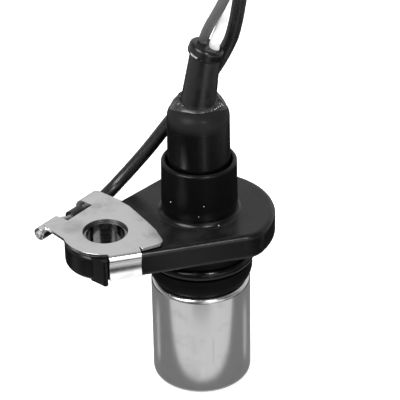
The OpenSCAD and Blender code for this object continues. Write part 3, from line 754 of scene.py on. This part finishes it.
# %% Finishes by slot
for row in frame["record"]["subparts"]:
    slots = nodes[row["node"]].data.materials
    slots.clear()
    slots.append(paints[row["material_slot"]])

# %% [markdown] ## Cords  Now the tube tree sweeps the three leads. The connector at
# the far end stays as CAD made it.

# %% Leads
LEAD_D, GROUND_D = 1.8 * MM, 2.5 * MM
LEAD_SIDES = 24
for colour, diameter in (("grey", LEAD_D), ("white", LEAD_D), ("black", GROUND_D)):
    line = lead_lines[colour]
    slot = colour + "_insulation"
    lead = tubes("wire_" + colour, [line], diameter, LEAD_SIDES, paints[slot])
    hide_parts("lead_" + colour)
    print(lead.name, len(lead.data.polygons), "faces")

# %% [markdown]
# ## The clip's edges
#
# Stamped sheet never has razor edges: the punch draws one side over and leaves a small
# round, and that round is what catches the light as a thin bright line. The CAD clip
# has sharp edges, so a copy of it is bevelled by less than a tenth of a millimetre. It
# is merged first, because CAD meshes come as separate faces, and flat areas are joined
# to single faces so that the bevel only meets true edges. The bevel puts its new faces
# in a second material slot, which tells them from the old ones.

# %% Bevelled copy of a CAD mesh
EDGE_ROUND = 0.07 * MM
EDGE_ANGLE = math.radians(40)
SAME_POINT = 0.002 * MM
SAME_PLANE = math.radians(0.3)


def merged_copy(node, name):
    """A copy of a CAD mesh with its doubles merged and its flat areas joined."""
    work = bmesh.new()
    work.from_mesh(nodes[node].data)
    bmesh.ops.remove_doubles(work, verts=work.verts, dist=SAME_POINT)
    bmesh.ops.dissolve_limit(work, angle_limit=SAME_PLANE, verts=work.verts, edges=work.edges)
    mesh = bpy.data.meshes.new(name)
    work.to_mesh(mesh)
    work.free()
    return mesh


def bevelled_copy(node, name, material):
    """The merged copy with rounded edges, whose new faces are in the second slot."""
    mesh = merged_copy(node, name)
    mesh.materials.clear()
    for slot in range(2):
        mesh.materials.append(material)
    for face in mesh.polygons:
        face.material_index = 0
        face.use_smooth = True
    carrier = bpy.data.objects.new(name + "_sharp", mesh)
    bpy.context.scene.collection.objects.link(carrier)
    rounding = carrier.modifiers.new("edges", "BEVEL")
    rounding.width, rounding.segments = EDGE_ROUND, 2
    rounding.limit_method, rounding.angle_limit = "ANGLE", EDGE_ANGLE
    rounding.use_clamp_overlap = False
    rounding.material = 1
    return plain_mesh(carrier)


clip_mesh = bevelled_copy("ground_clip", "clip_sheet", paints["clip_plate"])
print("clip:", len(clip_mesh.polygons), "faces")

# %% [markdown]
# Each corner then gets its own normal: old faces keep the normals of the sheet, weighed
# by area so that flat faces stay flat, and the new faces turn from one to the next.
# Without this the reflections on the long faces of the tab would be twisted.

# %% Normals of the clip
def corner_normals(mesh):
    """Sets every corner's normal from the old faces that meet there without a sharp edge."""
    old = [[] for vert in mesh.vertices]
    for face in mesh.polygons:
        if face.material_index == 0:
            for vert in face.vertices:
                old[vert].append((face.normal.copy(), face.area))
    normals = [None] * len(mesh.loops)
    for face in mesh.polygons:
        for loop, vert in zip(face.loop_indices, face.vertices):
            toward = face.normal
            if face.material_index == 1 and old[vert]:
                toward = max((normal for normal, area in old[vert]), key=face.normal.dot)
            near = [n * area for n, area in old[vert] if n.dot(toward) > math.cos(EDGE_ANGLE)]
            total = sum(near, Vector()) if near else mesh.vertices[vert].normal
            normals[loop] = total.normalized()
    mesh.normals_split_custom_set(normals)


corner_normals(clip_mesh)
rounded = [face for face in clip_mesh.polygons if face.material_index == 1]
print("clip:", len(rounded), "faces on its edges")
for face in rounded:
    face.material_index = 0
clip_mesh.materials.pop(index=1)
clip = piece("clip_sheet", clip_mesh)
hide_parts("ground_clip")

# %% [markdown]
# ## Bare strands
#
# The ground lead is stripped before its crimp, and the bare conductor is a bundle of
# fine tinned wires with a slight twist. Each wire of the outer layer is a helix round
# the bundle's own path, and the tube tree sweeps all of them at once. One thicker tube
# in the middle stands for the wires inside.

# %% Strands
STRAND_PATH = [(-7.0, -0.6), (-0.4, -0.6), (0.15, -0.75), (0.65, -1.1), (1.2, -1.25), (2.6, -1.25)]
STRAND_STEPS = 8
STRAND_D = 1.2
WIRE_COUNT, WIRE_D, WIRE_SIDES = 9, 0.36, 10
CORE_SIDES = 12
TWIST_PITCH = 9.0
UNEVEN_ENDS = 0.12


def bundle_path():
    """Points along the bundle, every fraction of a millimetre."""
    line = []
    for (a, up_a), (b, up_b) in zip(STRAND_PATH, STRAND_PATH[1:]):
        count = max(2, round((b - a) * STRAND_STEPS))
        line += [(a + (b - a) * i / count, up_a + (up_b - up_a) * i / count) for i in range(count)]
    return [*line, STRAND_PATH[-1]]


def on_bundle(along, up, turn, out):
    """A point so far out from the bundle's axis, turned round it."""
    local = Vector((along, CRIMP_REACH + out * math.cos(turn), up + out * math.sin(turn)))
    return (BOLT + CRIMP_TURN @ local) * MM


def wire_line(index):
    """The helix of one wire; its cut end stands out a little more or less than the rest."""
    first_turn = 2 * math.pi * index / WIRE_COUNT
    line = []
    for step, (along, up) in enumerate(bundle_path()):
        turn = first_turn + 2 * math.pi * along / TWIST_PITCH
        cut = UNEVEN_ENDS * math.sin(5 * index) if step == 0 else 0
        line.append(on_bundle(along - cut, up, turn, (STRAND_D - WIRE_D) / 2))
    return line


wire_lines = [wire_line(index) for index in range(WIRE_COUNT)]
strands = tubes("strand_wires", wire_lines, WIRE_D * MM, WIRE_SIDES, paints["strand_metal"])
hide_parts("ground_strands")
core_line = [on_bundle(along, up, 0, 0) for along, up in bundle_path()]
core = tubes("strand_core", [core_line], (STRAND_D - WIRE_D) * MM, CORE_SIDES, paints["strand_metal"])
print("strands:", WIRE_COUNT, "wires,", len(strands.data.polygons), "faces")

# %% [markdown]
# ## Sealing compound
#
# Where the rubber nozzle enters the boot, black compound was smeared round it by hand.
# It is thin at the front and stands up in lumps at both sides. One closed ring does it:
# for each direction round the nozzle the section lies on the boot's shoulder, is highest
# at the nozzle's wall and runs out to nothing. Its height and reach follow a smooth
# noise, so the lumps differ but never break the surface.

# %% Section of the sealing ring
BOOT_TOP, SHOULDER_R, SHOULDER_MIDDLE = 57.1, 2.4, 3.2
SEAL_INNER = 3.0
SEAL_SINK = 0.08
SEAL_TOP, SEAL_UNDER = 16, 6
LEAST_REACH, MORE_REACH = 0.75, 1.3
LEAST_HEIGHT, MORE_HEIGHT = 0.42, 0.6


def shoulder_height(out):
    """The height of the boot's rounded shoulder so far out from its axis."""
    past = max(0.0, out - SHOULDER_MIDDLE)
    return BOOT_TOP - SHOULDER_R + math.sqrt(SHOULDER_R ** 2 - past ** 2)


def seal_section(way, full):
    """Points of the ring's section in one direction, as distances out and heights."""
    wave = noise.noise(Vector((way.x * 1.6, way.y * 1.6, 4.2)))
    reach = LEAST_REACH + MORE_REACH * full * (1 + 0.25 * wave)
    height = LEAST_HEIGHT + full * (MORE_HEIGHT + 0.5 * wave)
    section = []
    for step in range(SEAL_TOP):
        share = step / (SEAL_TOP - 1)
        out = SEAL_INNER + reach * share
        lump = noise.noise(Vector((way.x * 3.4, way.y * 3.4, 1.8 * share)))
        fine = noise.noise(Vector((way.x * 9, way.y * 9, 3 * share)))
        thick = height * (1 - share ** 2) * (1 + full * (0.75 * lump + 0.2 * fine))
        section.append((out, shoulder_height(out) + thick))
    for step in range(SEAL_UNDER):
        out = SEAL_INNER + reach * (1 - step / (SEAL_UNDER - 1))
        section.append((out, shoulder_height(out) - SEAL_SINK))
    return section


print("seal section:", len(seal_section(RIGHT, 1.0)), "points")

# %% [markdown]
# The sections are joined to a ring. How full a section is depends on its direction as
# the camera sees it: thinnest straight in front, full at the sides and at the back.

# %% Sealing ring
SEAL_AROUND = 180


def sealing_ring():
    points, faces = [], []
    count = SEAL_TOP + SEAL_UNDER
    for i in range(SEAL_AROUND):
        turn = 2 * math.pi * i / SEAL_AROUND
        way = RIGHT * math.cos(turn) + AWAY * math.sin(turn)
        full = min(1.0, max(0.0, 0.75 + 1.05 * math.sin(turn) + 0.35 * abs(math.cos(turn))))
        points += [tuple((way * out + UP * up) * MM) for out, up in seal_section(way, full)]
        here, there = i * count, (i + 1) % SEAL_AROUND * count
        for j in range(count):
            after = (j + 1) % count
            faces.append((here + j, here + after, there + after, there + j))
    mesh = bpy.data.meshes.new("sealing_ring")
    mesh.from_pydata(points, [], faces)
    mesh.materials.append(paints["sealant"])
    for face in mesh.polygons:
        face.use_smooth = True
    return piece("sealing_ring", mesh)


seal = sealing_ring()
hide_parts("nozzle_sealant")
print("sealing ring:", len(seal.data.polygons), "faces")

# %% [markdown]
# ## Dust
#
# A few pale specks of dust sit on the black plastic, and crumbs stick to the sealing
# compound. Each is a small flat grain, and its place is found by shooting a ray from the
# camera at the piece that carries it, so it lies on that surface. The rows below give
# the place in the picture and the size in millimetres.

# %% Dust specks
IMAGE_SIDE = 400
SENSOR_WIDTH = 36.0
BODY_SPECKS = [(170.6, 202.0, 0.13), (203.8, 206.7, 0.08), (198.7, 217.0, 0.07), (218.6, 225.6, 0.16)]
SEAL_SPECKS = [
    (221.6, 104.2, 0.13), (222.9, 105.4, 0.1), (220.4, 105.9, 0.14), (218.2, 106.9, 0.12),
    (216.4, 108.4, 0.1), (214.9, 109.4, 0.12), (219.6, 103.4, 0.08), (184.4, 104.4, 0.08),
    (186.1, 106.2, 0.1), (182.9, 105.6, 0.07),
]


def ray_through(x, y):
    """The direction from the camera through a point of the picture."""
    half = SENSOR_WIDTH / 2 / CAMERA_LENS
    across = (x / IMAGE_SIDE * 2 - 1) * half
    upward = (1 - y / IMAGE_SIDE * 2) * half
    return (camera_turn @ Vector((across, upward, -1))).normalized()


def add_specks(work, carrier, specks):
    """Adds a grain to the mesh at each place of the picture, on the carrier's surface."""
    tree = BVHTree.FromPolygons([v.co for v in carrier.vertices], [p.vertices for p in carrier.polygons])
    for x, y, size in specks:
        hit, normal, face, distance = tree.ray_cast(camera_place, ray_through(x, y))
        if hit is None:
            continue
        grain = bmesh.ops.create_icosphere(work, subdivisions=2, radius=size * MM)["verts"]
        for vert in grain:
            flat = vert.co - 0.5 * normal * vert.co.dot(normal)
            vert.co = hit + flat * (1 + 0.35 * noise.noise(vert.co / MM * 4 + hit / MM))


def dust():
    work = bmesh.new()
    add_specks(work, nodes["housing"].data, BODY_SPECKS)
    add_specks(work, seal.data, SEAL_SPECKS)
    mesh = bpy.data.meshes.new("dust_specks")
    work.to_mesh(mesh)
    work.free()
    made, t, into = finish("dust", Roughness=0.9)
    t.fill(into["Base Color"], t.blend(use(t, GRAIN, Grains_per_mm=6.0), grey(0.75), grey(0.5)))
    mesh.materials.append(made)
    return piece("dust_specks", mesh)


specks = dust()
print("dust:", len(BODY_SPECKS) + len(SEAL_SPECKS), "specks,", len(specks.data.polygons), "faces")

# %% [markdown]
# ## Floor
#
# The floor is plain and pale. It is kept out of reflections: shiny black plastic and
# bright steel show what is around them, and an even white floor would make them look
# milky. A card of the same size lies just under it and takes its place there.

# %% Floor
STAGE_SIDE = 6.0


def stage_plane(name, height, material):
    mesh = bpy.data.meshes.new(name)
    half = STAGE_SIDE / 2
    corners = [(-half, -half), (half, -half), (half, half), (-half, half)]
    mesh.from_pydata([(x, y, height) for x, y in corners], [], [(0, 1, 2, 3)])
    mesh.materials.append(material)
    made = bpy.data.objects.new(name, mesh)
    bpy.context.scene.collection.objects.link(made)
    return made


def floor_paint():
    made, t, into = finish("floor_paint", Roughness=0.9, Specular_IOR_Level=0.0)
    speck = t.noise(place(t), 40.0, 2.0)
    t.fill(into["Base Color"], t.blend(speck, grey(0.9), grey(0.92)))
    into["Emission Color"].default_value = grey(1)
    into["Emission Strength"].default_value = 0.5
    return made


floor = stage_plane("floor", 0.0, floor_paint())
floor.visible_glossy = False
print("floor:", STAGE_SIDE, "m wide")

# %% [markdown]
# ## The reflection card
#
# Only reflections see this card. Its pattern is laid out in millimetres from the can's
# axis, towards the camera and to the right, and each part of it is there for one thing
# that the metal or the plastic shows. A bright sheet in front gives the can its pale
# upright patch, and two narrow rays give it a light line near each edge. The rest is
# for the mouldings, the clip and the bore: dim ground near the can, pale ground far off
# at both sides and in front, one long streak, and a small patch for the bore's wall.

# %% Parts of the card
WINDOW_TURN = math.radians(26)
RAY_FRONT, RAY_SIDE = 4.4, 8.14
RAY_TURN = math.radians(123)
PATCH_FRONT, PATCH_SIDE = 12.0, -66.0
STREAK_SLOPE = 0.31


def sheet_glow(t, front, side):
    """The bright sheet in front, darker in the middle of its far half."""
    sheet = t.product(t.band(front, 12.0, 15.0, 44.0, 50.0), t.band(side, -62.0, -52.0, 36.0, 50.0), 0.62)
    off_middle = t.math("ABSOLUTE", side)
    shade = t.product(t.ramp(front, 32.0, 35.0), t.ramp(off_middle, 9.0, 15.0, 0.28, 0.0))
    return t.math("MAXIMUM", t.math("SUBTRACT", sheet, shade), 0.0)


def ray_glow(t, front, side, out):
    """A ray on each side, fanning out from a point of the can's wall."""
    from_wall = t.math("SUBTRACT", t.math("ABSOLUTE", side), RAY_SIDE)
    turn = t.math("ARCTAN2", from_wall, t.math("SUBTRACT", front, RAY_FRONT))
    off_ray = t.math("ABSOLUTE", t.math("SUBTRACT", turn, RAY_TURN))
    return t.product(t.ramp(off_ray, 0.06, 0.2, 0.34, 0.0), t.band(out, 12.0, 16.0, 26.0, 34.0))


def streak_glow(t, front, side):
    """A long streak that runs away to the front right, bright along one edge."""
    off = t.math("SUBTRACT", side, t.product(front, STREAK_SLOPE))
    level = t.total(t.ramp(off, 3.0, 13.0, 1.1, 0.0), t.ramp(off, 12.0, 44.0, 0.14, 0.0))
    return t.product(level, t.ramp(off, -3.0, 0.5), t.ramp(front, 45.0, 60.0))


def far_glow(t, front, side):
    """Pale ground far in front, brightest below the window of the sky."""
    turn = t.math("ARCTAN2", side, front)
    off_window = t.math("ABSOLUTE", t.math("SUBTRACT", turn, WINDOW_TURN))
    return t.product(t.ramp(front, 70.0, 170.0), t.ramp(off_window, 0.3, 0.5, 1.3, 0.2))


def length_from(t, front, side, front_at, side_at):
    """The distance on the floor from a point of it."""
    offsets = t.math("SUBTRACT", front, front_at), t.math("SUBTRACT", side, side_at)
    return t.math("SQRT", t.total(*[t.product(offset, offset) for offset in offsets]))


print("card: far glow", round(math.degrees(WINDOW_TURN)), "degrees to the right")

# %% [markdown]
# The parts are added up to one glow. The simple ones are a single step each: a narrow
# glow round the can's foot, the dim ground near it, the far ground at both sides and the
# patch for the bore.

# %% Card
def card_paint():
    made = bpy.data.materials.new("card_paint")
    made.use_nodes = True
    t = Tree(made.node_tree)
    made.node_tree.nodes.remove(made.node_tree.nodes["Principled BSDF"])
    front, side = t.along(place_mm(t), -AWAY), t.along(place_mm(t), RIGHT)
    out = length_from(t, front, side, 0.0, 0.0)
    foot = t.ramp(out, 9.3, 9.9, 0.4, 0.0)
    near = t.ramp(out, 38.0, 53.0, 0.27, 0.03)
    right = t.ramp(side, 70.0, 125.0, 0.0, 0.6)
    left = t.ramp(side, -210.0, -80.0, 0.7, 0.0)
    patch = t.ramp(length_from(t, front, side, PATCH_FRONT, PATCH_SIDE), 9.0, 20.0, 0.4, 0.0)
    sheet, far = sheet_glow(t, front, side), far_glow(t, front, side)
    rays, streak = ray_glow(t, front, side, out), streak_glow(t, front, side)
    level = t.total(sheet, foot, near, rays, right, left, streak, far, patch)
    glow = t.add("ShaderNodeEmission", Color=grey(1), Strength=level)
    t.fill(made.node_tree.nodes["Material Output"].inputs["Surface"], glow.outputs[0])
    return made


CARD_HEIGHT = -0.05 * MM
card = stage_plane("reflection_card", CARD_HEIGHT, card_paint())
card.visible_camera = card.visible_diffuse = card.visible_shadow = False
print("card:", len(card.data.materials[0].node_tree.nodes), "nodes")

# %% [markdown]
# ## Sky
#
# The sky is a pale wash that is brightest behind the sensor and darker high up on the
# left. A tall narrow window with a wider sill stands at the front right. The lower part
# of the clip's bent tab looks that way, and it is bright there.

# %% Sky
world = bpy.data.worlds.new("studio")
bpy.context.scene.world = world
world.use_nodes = True
sky = Tree(world.node_tree)
way = sky.add("ShaderNodeTexCoord").outputs["Generated"]
to_back, to_right, height = sky.along(way, AWAY), sky.along(way, RIGHT), sky.height(way)
turn = sky.math("ARCTAN2", to_right, sky.product(to_back, -1.0))
off_window = sky.math("ABSOLUTE", sky.math("SUBTRACT", turn, WINDOW_TURN))
window = sky.product(sky.ramp(off_window, 0.12, 0.22, 1.5, 0.0), sky.ramp(height, 0.75, 0.88, 1.0, 0.0))
sill = sky.product(sky.ramp(off_window, 0.3, 0.5, 1.15, 0.0), sky.ramp(height, 0.2, 0.35, 1.0, 0.0))
at_left = sky.product(sky.ramp(to_right, -0.6, -0.2, 0.6, 0.0), sky.ramp(height, 0.3, 0.42))
wash = sky.product(sky.ramp(to_back, -0.5, 0.6, 0.16, 0.8), sky.math("SUBTRACT", 1.0, at_left))
background = world.node_tree.nodes["Background"].inputs
background["Color"].default_value = grey(1)
sky.fill(background["Strength"], sky.total(wash, sky.math("MAXIMUM", window, sill)))
print("sky:", len(world.node_tree.nodes), "nodes")

# %% [markdown]
# ## Lamps
#
# A soft box overhead at the left lights the scene. It is kept out of reflections,
# because its glare would streak the black plastic. A broad disc at the front left does
# the opposite: only reflections see it, and it draws the pale crescent on the fillet
# below the collar. A small lamp at the front right gives the seal its spark.

# %% Lamps
def seen(right, front, up):
    """A point so far to the camera's right, towards the camera and up, in millimetres."""
    return (RIGHT * right - AWAY * front + UP * up) * MM


def disc_lamp(name, at, size, watts):
    """A round lamp of a size in metres that faces the sensor."""
    lamp = bpy.data.lights.new(name, "AREA")
    lamp.shape = "DISK"
    lamp.size = size
    lamp.energy = watts
    made = bpy.data.objects.new(name, lamp)
    made.matrix_world = Matrix.Translation(at) @ look((at - target).normalized(), AWAY, 0).to_4x4()
    bpy.context.scene.collection.objects.link(made)
    return made


soft_box = disc_lamp("soft_box_left", seen(-440, 60, 690), 0.5, 6)
soft_box.visible_glossy = False
crescent_lamp = disc_lamp("crescent_lamp", seen(-457, 457, 540), 0.56, 7.5)
crescent_lamp.visible_diffuse = False
small_lamp = disc_lamp("small_lamp", seen(268, 645, 593), 0.08, 2.5)
bpy.context.scene.view_settings.view_transform = "Standard"
print("lamps:", [lamp.name for lamp in (soft_box, crescent_lamp, small_lamp)])

# %% [markdown]
# ## Size
#
# Dressing a model must not change its size.

# %% [markdown]
